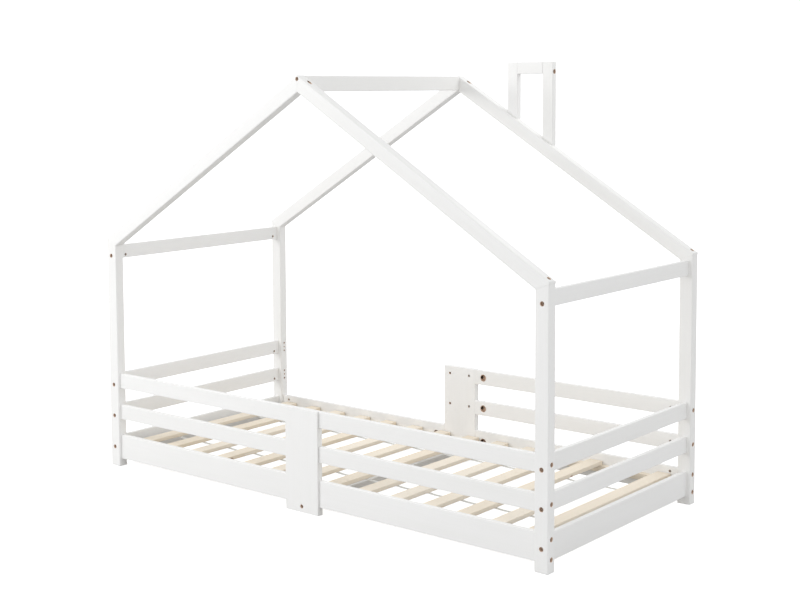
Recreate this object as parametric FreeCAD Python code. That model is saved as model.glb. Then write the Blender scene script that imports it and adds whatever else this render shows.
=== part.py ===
import FreeCAD, Part
import math
import os

Vector = FreeCAD.Vector

# House frame bed.  X runs along the bed (left to right), Y from front to back, Z up.
# The origin is on the floor, in the middle of the bed's length and width.  Millimetres.

# ---- Overall frame ----
bed_length = 2068.0             # outer faces of the corner posts, left to right
bed_width = 965.0               # outer faces of the corner posts, front to back
apex_height = 1540.0            # floor to the point of a gable
roof_slope = 0.61               # rise of a rafter per millimetre along X

# ---- Corner posts and rafters ----
post_along = 52.0               # section of a post along the bed
post_across = 39.0              # section of a post across the bed, and thickness of a rafter
rafter_depth = 51.0             # section of a rafter, square to its slope
eave_lip = 8.3                  # plumb end of a rafter, above the slanted joint with its post
frame_rounding = 4.5            # radius of the long edges of posts and rafters
foot_bevel = 3.5                # bevel round the foot of a post

# ---- Roof and end beams ----
ridge_thickness = 18.0
ridge_height = 55.0
ridge_drop = 2.0                # top of the ridge beam below the point of the gables
end_beam_height = 54.0          # top beam across each end, level with the posts' inner top corners

# ---- Rails and guards ----
rail_thickness = 18.0
rail_bevel = 1.6                # width of the bevel on the long edges of every thin board
end_rail_setback = 16.0         # outer face of a post to the outer face of an end rail
side_rail_bottom = 30.0
side_rail_height = 96.0
end_side_rail_height = 90.0
guard_height = 58.0
lower_guard_bottom = 189.0
upper_guard_bottom = 313.0

# ---- Centre uprights, their covers and the beam between them ----
upright_width = 155.0
cover_thickness = 7.5
cross_beam_width = 18.0
cross_beam_height = 36.0
cross_beam_lift = 4.0           # clear of the floor

# ---- Slats, ledgers and tapes ----
ledger_rise = 30.0              # bottom of a side rail to the bottom of its ledger
ledger_height = 25.0
ledger_width = 20.0
slat_count = 14
slat_width = 55.0
slat_thickness = 15.0
slat_end_gap = 47.0             # inner face of an end rail to the first slat
slat_side_gap = 3.0             # inner face of a side rail to the end of a slat
slat_bevel = 1.2
tape_width = 15.0
tape_thickness = 1.0
front_tape_inset = 208.0        # inner face of the front side rail to the front tape
back_tape_inset = 236.0         # inner face of the back side rail to the back tape

# ---- Chimney on the back right rafter ----
chimney_offset = 230.0          # middle of the bed to the nearer chimney post
chimney_post_width = 46.0
chimney_depth = 25.0
chimney_opening = 114.0         # between the two chimney posts
chimney_bar_height = 45.0
chimney_rise = 50.0             # top of the chimney above the point of the gables

# ---- Cross-bolted joints ----
bolt_diameter = 6.0
bolt_head_diameter = 12.0
bolt_head_height = 4.0
bolt_hole_diameter = 6.6
bolt_runout = 3.0               # end of a bolt past the axis of its nut
counterbore_diameter = 14.5
counterbore_depth = 12.0
nut_diameter = 10.0
nut_length = 10.0
nut_fit = 0.1                   # nut in its hole and bolt in its nut, on the diameter
side_nut_inset = 34.0           # end of a side rail or guard to its nut
end_nut_inset = 26.0            # end of an end rail to its nut
side_bolt_low_edge = 14.0       # bottom of a side rail to its lower bolt
side_bolt_high_edge = 18.0      # upper bolt to the top of a side rail
guard_end_bolt_rise = 13.0      # bottom of an end guard or top beam to its bolt
end_side_bolt_rise = 47.0       # bottom of an end side rail to its bolt

# ---- Bolt pockets at the middle of the bed ----
pocket_diameter = 26.0
pocket_depth = 14.0
pocket_inset = 40.0             # middle end of a rail to the middle of its pocket
pocket_seat = 14.0              # middle of a pocket to the seat of its bolt head
side_pocket_rise = 53.0         # bottom of a side rail to its pocket
upright_nut_inset = 30.0        # edge of a centre upright to its nuts

# ---- Dowels ----
dowel_diameter = 8.0
dowel_length = 34.0
dowel_fit = 0.1                 # on the diameter
dowel_end_gap = 1.0
guard_dowel_offset = 17.0       # above and below the bolt of a guard

# ---- Long wood screws ----
screw_diameter = 6.0
screw_head_diameter = 11.0
screw_head_height = 4.0
screw_fit = 0.1                 # on the diameter
screw_hold = 32.0               # length of a screw in the piece that it draws up
screw_counterbore = 13.0
screw_counterbore_depth = 10.0
eave_screw_inset = 13.0         # outer face of a post to the screw in the top of the rafter
eave_screw_grip = 40.0          # from the seat of an eave screw to its tip
eave_counterbore_depth = 14.0
apex_screw_drop = 25.6          # point of the gable down to the screw through the mitre
apex_screw_seat = 26.0          # mitre to the seat of that screw
ridge_screw_drop = 13.0         # point of the gable down to the screw into the ridge beam
chimney_counterbore = 17.0      # wider holes, on the outer faces of the chimney
chimney_screw_drop = 37.0       # top of the chimney down to the screws in its crosspiece
chimney_foot_bore = 22.0        # counterbore under the rafter for a chimney post's screw

# ---- Flats round a small hole or fastener: hidden ones are drawn with few ----
pocket_sides = 24
mouth_sides = 12                # counterbores
nut_sides = 6
hidden_sides = 6                # bores, shanks, heads and dowels inside the joints

# ---- Sizes that follow from the ones above ----
half_length = bed_length / 2
half_width = bed_width / 2
rafter_plumb_depth = rafter_depth * math.hypot(1.0, roof_slope)
eave_top = apex_height - roof_slope * half_length
post_inner_top = apex_height - rafter_plumb_depth - roof_slope * (half_length - post_along)
post_outer_top = eave_top - eave_lip
rail_setback = (post_across - rail_thickness) / 2
guard_top = upper_guard_bottom + guard_height
end_beam_bottom = post_inner_top - end_beam_height
ledger_bottom = side_rail_bottom + ledger_rise
slat_bottom = ledger_bottom + ledger_height
chimney_top = apex_height + chimney_rise
nut_hole_depth = (rail_thickness + nut_length) / 2
guard_bottoms = {"lower": lower_guard_bottom, "upper": upper_guard_bottom}

ALONG = Vector(1, 0, 0)
ACROSS = Vector(0, 1, 0)
UP = Vector(0, 0, 1)
SIDES_X = {"left": -1, "right": 1}
SIDES_Y = {"front": -1, "back": 1}
CUT_MARGIN = 5.0                # a drill starts this far outside the face that it opens
LIMIT = 4 * apex_height         # larger than the bed, for the tools that trim slanted ends

blanks = {}                     # node name: board before drilling
drillings = {}                  # node name: holes to cut from the board
fasteners = {}                  # node name: identical solids


def inward_x(side, distance):
    """X of a plane this far in from the posts' outer face, on the left (-1) or right (1)."""
    return side * (half_length - distance)


def inward_y(side, distance):
    """Y of a plane this far in from the posts' outer face, at the front (-1) or back (1)."""
    return side * (half_width - distance)


def roof_height(x):
    """Height of the rafters' top faces at a distance x from the middle."""
    return apex_height - roof_slope * abs(x)


def eave_joint_height(inset):
    """Height of the slanted joint of post and rafter, this far in from the outer face."""
    return post_outer_top + (post_inner_top - post_outer_top) * inset / post_along


def sawn(corner, opposite, grain):
    """A square-edged board between two corners, with its edges along the grain."""
    low = Vector(*(min(pair) for pair in zip(corner, opposite)))
    size = Vector(*(abs(a - b) for a, b in zip(corner, opposite)))
    blank = Part.makeBox(size.x, size.y, size.z, low)
    edges = [edge for edge in blank.Edges if edge.tangentAt(0).cross(grain).Length < 0.5]
    return blank, edges


def rounded_bar(corner, opposite, grain):
    """A bar of the frame, its long edges rounded."""
    bar, edges = sawn(corner, opposite, grain)
    return bar.makeFillet(min(frame_rounding, 0.4 * min(post_across, post_along, rafter_depth)), edges)


def board(corner, opposite, grain, bevel):
    """A thin board, its long edges bevelled."""
    blank, edges = sawn(corner, opposite, grain)
    return blank.makeChamfer(bevel, edges)


def profile_prism(points, y_from, y_to):
    """A prism across the bed, from a closed outline of (x, z) points."""
    outline = Part.makePolygon([Vector(x, y_from, z) for x, z in points + points[:1]])
    return Part.Face(outline).extrude(Vector(0, y_to - y_from, 0))


def keep_blank(name, blank):
    """Put a board on the list, with no holes in it yet."""
    blanks[name] = blank
    drillings[name] = []


def rod(start, direction, length, diameter, sides):
    """A rod with this many flats, its corners on the diameter."""
    sideways = direction.cross(ACROSS if abs(direction.y) < 0.5 else UP).normalize()
    turn = FreeCAD.Rotation(direction, 360 / sides)
    corner = sideways * (diameter / 2)
    corners = []
    for _ in range(sides):
        corners.append(start + corner)
        corner = turn.multVec(corner)
    return Part.Face(Part.makePolygon(corners + corners[:1])).extrude(direction * length)


def drill(names, mouth, direction, diameter, depth, sides=hidden_sides, margin=CUT_MARGIN):
    """Drill a hole in the named boards, started a margin outside its mouth."""
    tool = rod(mouth - direction * margin, direction, depth + margin, diameter, sides)
    for name in names:
        drillings[name].append(tool)


def headed_rod(seat, direction, length, diameter, head_diameter, head_height):
    """A bolt or screw: its head lies on the seat, its shank runs on past it."""
    head = rod(seat - direction * head_height, direction, head_height, head_diameter, hidden_sides)
    shank = rod(seat, direction, length, diameter, hidden_sides)
    return head.fuse(shank)


def keep_fastener(group, solid):
    """Add one solid to its group of fasteners."""
    fasteners.setdefault(group, []).append(solid)


def drill_nut_hole(name, axis_point, mouth_direction):
    """Blind hole for a cross nut, from the inner face of an 18 mm board."""
    mouth = axis_point + mouth_direction * (rail_thickness / 2)
    drill([name], mouth, -mouth_direction, nut_diameter, nut_hole_depth, nut_sides)


def fit_bolt(group, seat, direction, nut_distance, mouth_direction):
    """A bolt from its seat to its cross nut, and the nut."""
    length = nut_distance + bolt_runout
    bolt = headed_rod(seat, direction, length, bolt_diameter, bolt_head_diameter, bolt_head_height)
    keep_fastener(group, bolt)
    nut_centre = seat + direction * nut_distance
    nut_start = nut_centre - mouth_direction * (nut_length / 2)
    nut = rod(nut_start, mouth_direction, nut_length, nut_diameter - nut_fit, nut_sides)
    thread_start = nut_centre - direction * nut_diameter
    thread_length = nut_diameter + bolt_runout
    thread = rod(thread_start, direction, thread_length, bolt_diameter + nut_fit, hidden_sides)
    keep_fastener("barrel_nuts", nut.cut(thread))


def drill_dowel(names, joint_point, direction):
    """Dowel hole, half on each side of a joint face."""
    depth = dowel_length / 2 + dowel_end_gap
    start = joint_point - direction * depth
    drill(names, start, direction, dowel_diameter + dowel_fit, 2 * depth, margin=0)


def fit_dowel(joint_point, direction):
    """A dowel, half in each of the two boards that meet at the joint."""
    start = joint_point - direction * (dowel_length / 2)
    keep_fastener("dowels", rod(start, direction, dowel_length, dowel_diameter, hidden_sides))


def fit_screw(names, mouth, direction, recess, grip, counterbore=screw_counterbore):
    """A long wood screw in its counterbore; the grip is the length from its seat to its tip."""
    seat = mouth + direction * recess
    drill(names, mouth, direction, counterbore, recess, mouth_sides, margin=screw_counterbore)
    drill(names, seat, direction, screw_diameter + screw_fit, grip, margin=0)
    screw = headed_rod(seat, direction, grip, screw_diameter, screw_head_diameter, screw_head_height)
    keep_fastener("frame_screws", screw)


def make_posts():
    """Corner posts, bevelled at the foot and cut on a slant to carry the rafters."""
    for end, x_side in SIDES_X.items():
        for face, y_side in SIDES_Y.items():
            corner = (inward_x(x_side, 0), inward_y(y_side, 0), 0)
            opposite = (inward_x(x_side, post_along), inward_y(y_side, post_across), eave_top)
            post = rounded_bar(corner, opposite, UP)
            foot = [edge for edge in post.Edges if edge.BoundBox.ZMax < 1e-6]
            post = post.makeChamfer(min(foot_bevel, 0.8 * frame_rounding), foot)
            trim = profile_prism(
                [
                    (inward_x(x_side, -CUT_MARGIN), -CUT_MARGIN),
                    (inward_x(x_side, -CUT_MARGIN), eave_joint_height(-CUT_MARGIN)),
                    (inward_x(x_side, post_along + CUT_MARGIN), eave_joint_height(post_along + CUT_MARGIN)),
                    (inward_x(x_side, post_along + CUT_MARGIN), -CUT_MARGIN),
                ],
                -bed_width,
                bed_width,
            )
            keep_blank(f"{face}_{end}_post", post.common(trim))


def make_rafters():
    """Rafters, mitred at the ridge, plumb at the eave and cut on a slant on their posts."""
    angle = math.degrees(math.atan(roof_slope))
    for end, x_side in SIDES_X.items():
        for face, y_side in SIDES_Y.items():
            corner = (-bed_length, inward_y(y_side, 0), -rafter_depth)
            opposite = (bed_length, inward_y(y_side, post_across), 0)
            rafter = rounded_bar(corner, opposite, ALONG)
            rafter.rotate(Vector(0, 0, 0), ACROSS, x_side * angle)
            rafter.translate(Vector(0, 0, apex_height))
            trim = profile_prism(
                [
                    (inward_x(x_side, 0), post_outer_top),
                    (inward_x(x_side, 0), LIMIT),
                    (0, LIMIT),
                    (0, eave_joint_height(half_length)),
                ],
                -bed_width,
                bed_width,
            )
            keep_blank(f"{face}_{end}_rafter", rafter.common(trim))


def make_ridge_and_end_beams():
    """The board along the ridge, and the top beam across each end."""
    reach = half_width - post_across
    top = apex_height - ridge_drop
    low = (-ridge_thickness / 2, -reach, top - ridge_height)
    keep_blank("ridge_beam", board(low, (ridge_thickness / 2, reach, top), ACROSS, rail_bevel))
    for end, x_side in SIDES_X.items():
        low = (inward_x(x_side, end_rail_setback), -reach, end_beam_bottom)
        high = (inward_x(x_side, end_rail_setback + rail_thickness), reach, post_inner_top)
        keep_blank(f"{end}_end_beam", board(low, high, ACROSS, rail_bevel))


def end_rail(x_side, bottom, height):
    """A rail or guard across one end, between the two posts."""
    reach = half_width - post_across
    low = (inward_x(x_side, end_rail_setback), -reach, bottom)
    high = (inward_x(x_side, end_rail_setback + rail_thickness), reach, bottom + height)
    return board(low, high, ACROSS, rail_bevel)


def half_rail(x_side, y_side, bottom, height):
    """A rail or guard along one half of a long side, from the post to the centre upright."""
    low = (inward_x(x_side, post_along), inward_y(y_side, rail_setback), bottom)
    high = (x_side * upright_width / 2, inward_y(y_side, rail_setback + rail_thickness), bottom + height)
    return board(low, high, ALONG, rail_bevel)


def guard_is_fitted(face, end):
    """The left half of the back stays open as the way into the bed."""
    return not (face == "back" and end == "left")


def make_rails_and_guards():
    """Side rails and guards of the long sides, in halves, and those across the ends."""
    for end, x_side in SIDES_X.items():
        keep_blank(f"{end}_end_side_rail", end_rail(x_side, side_rail_bottom, end_side_rail_height))
        for level, bottom in guard_bottoms.items():
            keep_blank(f"{end}_end_{level}_guard", end_rail(x_side, bottom, guard_height))
        for face, y_side in SIDES_Y.items():
            rail = half_rail(x_side, y_side, side_rail_bottom, side_rail_height)
            keep_blank(f"{face}_{end}_side_rail", rail)
            for level, bottom in guard_bottoms.items():
                if guard_is_fitted(face, end):
                    guard = half_rail(x_side, y_side, bottom, guard_height)
                    keep_blank(f"{face}_{end}_{level}_guard", guard)


def make_centre():
    """Centre uprights with their outer covers, and the low beam that ties them."""
    half_upright = upright_width / 2
    for face, y_side in SIDES_Y.items():
        outer = inward_y(y_side, rail_setback - cover_thickness)
        joint = inward_y(y_side, rail_setback)
        inner = inward_y(y_side, rail_setback + rail_thickness)
        upright = board((-half_upright, joint, 0), (half_upright, inner, guard_top), UP, rail_bevel)
        cover = board((-half_upright, outer, 0), (half_upright, joint, guard_top), UP, rail_bevel)
        keep_blank(f"{face}_centre_upright", upright)
        keep_blank(f"{face}_upright_cover", cover)
    reach = half_width - rail_setback - rail_thickness
    low = (-cross_beam_width / 2, -reach, cross_beam_lift)
    high = (cross_beam_width / 2, reach, cross_beam_lift + cross_beam_height)
    keep_blank("centre_cross_beam", board(low, high, ACROSS, rail_bevel))


def slat_places():
    """Middle of each slat along the bed, evenly spread between the end rails."""
    first = inward_x(-1, end_rail_setback + rail_thickness + slat_end_gap + slat_width / 2)
    pitch = -2 * first / (slat_count - 1)
    return [first + pitch * index for index in range(slat_count)]


def make_slat_deck():
    """Ledgers on the side rails, the slats that lie on them and the tapes under the slats."""
    rail_face = rail_setback + rail_thickness
    post_face = half_length - post_along
    for face, y_side in SIDES_Y.items():
        low = (-post_face, inward_y(y_side, rail_face), ledger_bottom)
        high = (post_face, inward_y(y_side, rail_face + ledger_width), slat_bottom)
        keep_blank(f"{face}_slat_ledger", board(low, high, ALONG, slat_bevel))
    reach = half_width - rail_face - slat_side_gap
    places = slat_places()
    for number, x in enumerate(places, start=1):
        low = (x - slat_width / 2, -reach, slat_bottom)
        high = (x + slat_width / 2, reach, slat_bottom + slat_thickness)
        keep_blank(f"slat_{number:02d}", board(low, high, ACROSS, slat_bevel))
    tape_insets = {"front": front_tape_inset, "back": back_tape_inset}
    for face, y_side in SIDES_Y.items():
        inset = rail_face + tape_insets[face]
        low = Vector(places[0] - slat_width / 2, inward_y(y_side, inset), slat_bottom - tape_thickness)
        high = Vector(places[-1] + slat_width / 2, inward_y(y_side, inset + tape_width), slat_bottom)
        low.y, high.y = min(low.y, high.y), max(low.y, high.y)
        size = high - low
        keep_blank(f"{face}_slat_tape", Part.makeBox(size.x, size.y, size.z, low))


def chimney_places():
    """Left face of each chimney post."""
    return {"left": chimney_offset, "right": chimney_offset + chimney_post_width + chimney_opening}


def make_chimney():
    """Two posts cut to the slope of the back right rafter, and the crosspiece between them."""
    inner = inward_y(1, chimney_depth)
    roof_line = profile_prism(
        [(0, apex_height), (0, LIMIT), (LIMIT, LIMIT), (LIMIT, roof_height(LIMIT))], 0, bed_width
    )
    for end, x in chimney_places().items():
        low = (x, inner, roof_height(x + chimney_post_width) - CUT_MARGIN)
        high = (x + chimney_post_width, half_width, chimney_top)
        post = board(low, high, UP, rail_bevel)
        keep_blank(f"chimney_{end}_post", post.common(roof_line))
    low = (chimney_offset + chimney_post_width, inner, chimney_top - chimney_bar_height)
    high = (low[0] + chimney_opening, half_width, chimney_top)
    keep_blank("chimney_crosspiece", board(low, high, ALONG, rail_bevel))


def join_to_post_sideways(face, end, heights, dowel_heights, rail):
    """Bolts along the bed, from the outer end of a post into a side rail or guard."""
    x_side = SIDES_X[end]
    y_side = SIDES_Y[face]
    post = f"{face}_{end}_post"
    y = inward_y(y_side, post_across / 2)
    direction = Vector(-x_side, 0, 0)
    mouth_direction = Vector(0, -y_side, 0)
    drilled = [post] if rail is None else [post, rail]
    nut_distance = post_along + side_nut_inset
    for z in heights:
        mouth = Vector(inward_x(x_side, 0), y, z)
        drill([post], mouth, direction, counterbore_diameter, counterbore_depth, mouth_sides)
        drill(drilled, mouth, direction, bolt_hole_diameter, nut_distance + bolt_runout)
        if rail is not None:
            drill_nut_hole(rail, mouth + direction * nut_distance, mouth_direction)
            seat = mouth + direction * counterbore_depth
            fit_bolt("long_bolts", seat, direction, nut_distance - counterbore_depth, mouth_direction)
    for z in dowel_heights:
        joint_point = Vector(inward_x(x_side, post_along), y, z)
        drill_dowel(drilled, joint_point, direction)
        if rail is not None:
            fit_dowel(joint_point, direction)


def join_to_post_endways(face, end, bolt_height, rail):
    """A bolt across the bed, from the outer face of a post into an end rail."""
    x_side = SIDES_X[end]
    y_side = SIDES_Y[face]
    post = f"{face}_{end}_post"
    x = inward_x(x_side, end_rail_setback + rail_thickness / 2)
    direction = Vector(0, -y_side, 0)
    mouth_direction = Vector(-x_side, 0, 0)
    nut_distance = post_across + end_nut_inset
    mouth = Vector(x, inward_y(y_side, 0), bolt_height)
    drill([post], mouth, direction, counterbore_diameter, counterbore_depth, mouth_sides)
    drill([post, rail], mouth, direction, bolt_hole_diameter, nut_distance + bolt_runout)
    drill_nut_hole(rail, mouth + direction * nut_distance, mouth_direction)
    seat = mouth + direction * counterbore_depth
    fit_bolt("short_bolts", seat, direction, nut_distance - counterbore_depth, mouth_direction)


def join_to_upright(face, end, height, rail):
    """A bolt from a pocket in a rail's inner face into the edge of the centre upright."""
    x_side = SIDES_X[end]
    y_side = SIDES_Y[face]
    upright = f"{face}_centre_upright"
    y = inward_y(y_side, post_across / 2)
    direction = Vector(-x_side, 0, 0)
    mouth_direction = Vector(0, -y_side, 0)
    edge = Vector(x_side * upright_width / 2, y, height)
    drilled = [upright] if rail is None else [upright, rail]
    drill_nut_hole(upright, edge + direction * upright_nut_inset, mouth_direction)
    pocket_middle = edge - direction * pocket_inset
    bore_length = pocket_inset + upright_nut_inset + bolt_runout
    drill(drilled, pocket_middle, direction, bolt_hole_diameter, bore_length, margin=0)
    if rail is not None:
        pocket_mouth = pocket_middle + mouth_direction * (rail_thickness / 2)
        drill([rail], pocket_mouth, -mouth_direction, pocket_diameter, pocket_depth, pocket_sides)
        drill([rail], pocket_middle, direction, bolt_head_diameter + 2 * nut_fit, pocket_seat, margin=0)
        seat = pocket_middle + direction * pocket_seat
        nut_distance = pocket_inset - pocket_seat + upright_nut_inset
        fit_bolt("short_bolts", seat, direction, nut_distance, mouth_direction)


def join_long_sides():
    """Side rails and guards to the posts and to the centre uprights."""
    side_bolts = [
        side_rail_bottom + side_bolt_low_edge,
        side_rail_bottom + side_rail_height - side_bolt_high_edge,
    ]
    pocket_height = side_rail_bottom + side_pocket_rise
    for end in SIDES_X:
        for face in SIDES_Y:
            rail = f"{face}_{end}_side_rail"
            join_to_post_sideways(face, end, side_bolts, [], rail)
            join_to_upright(face, end, pocket_height, rail)
            for level, bottom in guard_bottoms.items():
                height = bottom + guard_height / 2
                dowels = [height - guard_dowel_offset, height + guard_dowel_offset]
                guard = f"{face}_{end}_{level}_guard" if guard_is_fitted(face, end) else None
                join_to_post_sideways(face, end, [height], dowels, guard)
                join_to_upright(face, end, height, guard)


def join_ends():
    """Rails, guards and top beams across the ends to the posts."""
    for end in SIDES_X:
        for face in SIDES_Y:
            join_to_post_endways(face, end, side_rail_bottom + end_side_bolt_rise, f"{end}_end_side_rail")
            join_to_post_endways(face, end, end_beam_bottom + guard_end_bolt_rise, f"{end}_end_beam")
            for level, bottom in guard_bottoms.items():
                join_to_post_endways(face, end, bottom + guard_end_bolt_rise, f"{end}_end_{level}_guard")


def join_roof():
    """Screws of the eaves, of the mitred points and of the ridge beam."""
    slope_length = math.hypot(1.0, roof_slope)
    for face, y_side in SIDES_Y.items():
        y = inward_y(y_side, post_across / 2)
        for end, x_side in SIDES_X.items():
            x = inward_x(x_side, eave_screw_inset)
            into_post = Vector(-x_side * roof_slope, 0, -1) / slope_length
            names = [f"{face}_{end}_rafter", f"{face}_{end}_post"]
            mouth = Vector(x, y, roof_height(x))
            fit_screw(names, mouth, into_post, eave_counterbore_depth, eave_screw_grip)
        rafters = [f"{face}_left_rafter", f"{face}_right_rafter"]
        mouth_x = apex_screw_drop / roof_slope
        mouth = Vector(mouth_x, y, apex_height - apex_screw_drop)
        grip = apex_screw_seat + screw_hold
        fit_screw(rafters, mouth, Vector(-1, 0, 0), mouth_x - apex_screw_seat, grip)
        mouth = Vector(0, inward_y(y_side, 0), apex_height - ridge_screw_drop)
        grip = post_across - screw_counterbore_depth + screw_hold
        fit_screw(rafters + ["ridge_beam"], mouth, Vector(0, -y_side, 0), screw_counterbore_depth, grip)


def join_chimney():
    """Screws through the chimney posts into the crosspiece, and up through the rafter."""
    y = inward_y(1, chimney_depth / 2)
    z = chimney_top - chimney_screw_drop
    grip = chimney_post_width - screw_counterbore_depth + screw_hold
    for end, x in chimney_places().items():
        x_side = SIDES_X[end]
        post = f"chimney_{end}_post"
        outer = x if end == "left" else x + chimney_post_width
        mouth = Vector(outer, y, z)
        inward = Vector(-x_side, 0, 0)
        names = [post, "chimney_crosspiece"]
        fit_screw(names, mouth, inward, screw_counterbore_depth, grip, chimney_counterbore)
        middle = x + chimney_post_width / 2
        mouth = Vector(middle, y, roof_height(middle) - rafter_plumb_depth)
        foot_grip = rafter_plumb_depth - chimney_foot_bore + screw_hold
        fit_screw(["back_right_rafter", post], mouth, UP, chimney_foot_bore, foot_grip)


def join_cross_beam():
    """Screws through the cover and the centre upright into the ends of the cross beam."""
    z = cross_beam_lift + cross_beam_height / 2
    grip = cover_thickness + rail_thickness - screw_counterbore_depth + screw_hold
    for face, y_side in SIDES_Y.items():
        names = [f"{face}_upright_cover", f"{face}_centre_upright", "centre_cross_beam"]
        mouth = Vector(0, inward_y(y_side, rail_setback - cover_thickness), z)
        fit_screw(names, mouth, Vector(0, -y_side, 0), screw_counterbore_depth, grip)


def save_parts():
    """Drill every board, and write each piece or group of fasteners to its own file."""
    os.makedirs("parts", exist_ok=True)
    for name, blank in blanks.items():
        holes = drillings[name]
        piece = blank.cut(holes) if holes else blank
        piece.Solids[0].exportStep(f"parts/{name}.step")
    for name, solids in fasteners.items():
        Part.makeCompound(solids).exportStep(f"parts/{name}.step")


make_posts()
make_rafters()
make_ridge_and_end_beams()
make_rails_and_guards()
make_centre()
make_slat_deck()
make_chimney()
join_long_sides()
join_ends()
join_roof()
join_chimney()
join_cross_beam()
save_parts()
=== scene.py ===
"""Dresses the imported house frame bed: painted boards, bare slats, steel fittings and a pale studio."""

import logging
import math
from collections.abc import Iterable
from dataclasses import dataclass, field, replace
from enum import Enum

import bmesh
import bpy
import numpy as np
from mathutils import Matrix, Vector


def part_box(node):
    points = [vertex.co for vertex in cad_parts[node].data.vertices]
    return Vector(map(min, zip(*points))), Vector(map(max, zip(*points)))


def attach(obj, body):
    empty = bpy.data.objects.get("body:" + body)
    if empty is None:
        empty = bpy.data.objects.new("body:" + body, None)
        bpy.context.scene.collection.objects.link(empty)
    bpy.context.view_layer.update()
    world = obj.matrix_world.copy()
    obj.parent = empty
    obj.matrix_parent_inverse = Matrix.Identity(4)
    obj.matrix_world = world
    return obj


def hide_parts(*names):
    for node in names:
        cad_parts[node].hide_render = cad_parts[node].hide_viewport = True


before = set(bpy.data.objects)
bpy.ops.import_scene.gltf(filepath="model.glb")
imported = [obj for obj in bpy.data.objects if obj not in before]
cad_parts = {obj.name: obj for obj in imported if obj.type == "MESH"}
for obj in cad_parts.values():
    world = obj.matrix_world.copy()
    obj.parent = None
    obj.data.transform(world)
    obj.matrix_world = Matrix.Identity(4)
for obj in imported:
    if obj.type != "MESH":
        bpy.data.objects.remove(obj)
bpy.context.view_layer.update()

log = logging.getLogger("house_frame_bed")

MM = 0.001
ROOF_SLOPE = 0.61
ROOF_RUN = 1.0 / math.hypot(1.0, ROOF_SLOPE)
ROOF_RISE = ROOF_SLOPE * ROOF_RUN
CUT_ROUNDING = 0.9 * MM
GUARD_LINES = (342.0 * MM, 218.0 * MM)
RAIL_LINES = (108.0 * MM, 44.0 * MM)
POCKET_LINE = 83.0 * MM
END_LINES = {
    "end_beam": 840.2 * MM,
    "end_upper_guard": 326.0 * MM,
    "end_lower_guard": 202.0 * MM,
    "end_side_rail": 77.0 * MM,
}
WAVE_PITCH = 0.314
BODY = "root"
FACES = ("front", "back")
ENDS = ("left", "right")

Setting = object
Shape = bmesh.types.BMesh
Piece = bpy.types.Object
Material = bpy.types.Material
Colour = tuple[float, float, float, float]
Point = tuple[float, float, float]
WHITE: Colour = (1.0, 1.0, 1.0, 1.0)
BLACK: Colour = (0.0, 0.0, 0.0, 1.0)


def from_srgb(red: int, green: int, blue: int) -> Colour:
    """Turns a colour as a screen shows it into the linear one that a shader takes.

    Args:
        red: red, from 0 to 255.
        green: green, from 0 to 255.
        blue: blue, from 0 to 255.

    Returns:
        The linear colour, with full alpha.
    """
    parts = [channel / 255.0 for channel in (red, green, blue)]
    linear = [part / 12.92 if part <= 0.04045 else ((part + 0.055) / 1.055) ** 2.4 for part in parts]
    return (linear[0], linear[1], linear[2], 1.0)


class Value:
    """One output of a node; arithmetic on it adds the Math nodes that it stands for."""

    def __init__(self, sheet: "NodeSheet", socket: bpy.types.NodeSocket) -> None:
        """Wraps an output socket of a sheet."""
        self.sheet = sheet
        self.socket = socket

    def _math(self, operation: str, left: "Value | float", right: "Value | float") -> "Value":
        """The result of a Math node on two values."""
        return self.sheet.node("Math", {"operation": operation}, {0: left, 1: right})

    def __add__(self, other: "Value | float") -> "Value":
        """Self plus other."""
        return self._math("ADD", self, other)

    def __radd__(self, other: float) -> "Value":
        """Other plus self."""
        return self._math("ADD", other, self)

    def __sub__(self, other: "Value | float") -> "Value":
        """Self minus other."""
        return self._math("SUBTRACT", self, other)

    def __rsub__(self, other: float) -> "Value":
        """Other minus self."""
        return self._math("SUBTRACT", other, self)

    def __mul__(self, other: "Value | float") -> "Value":
        """Self times other."""
        return self._math("MULTIPLY", self, other)

    def __rmul__(self, other: float) -> "Value":
        """Other times self."""
        return self._math("MULTIPLY", other, self)


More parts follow.
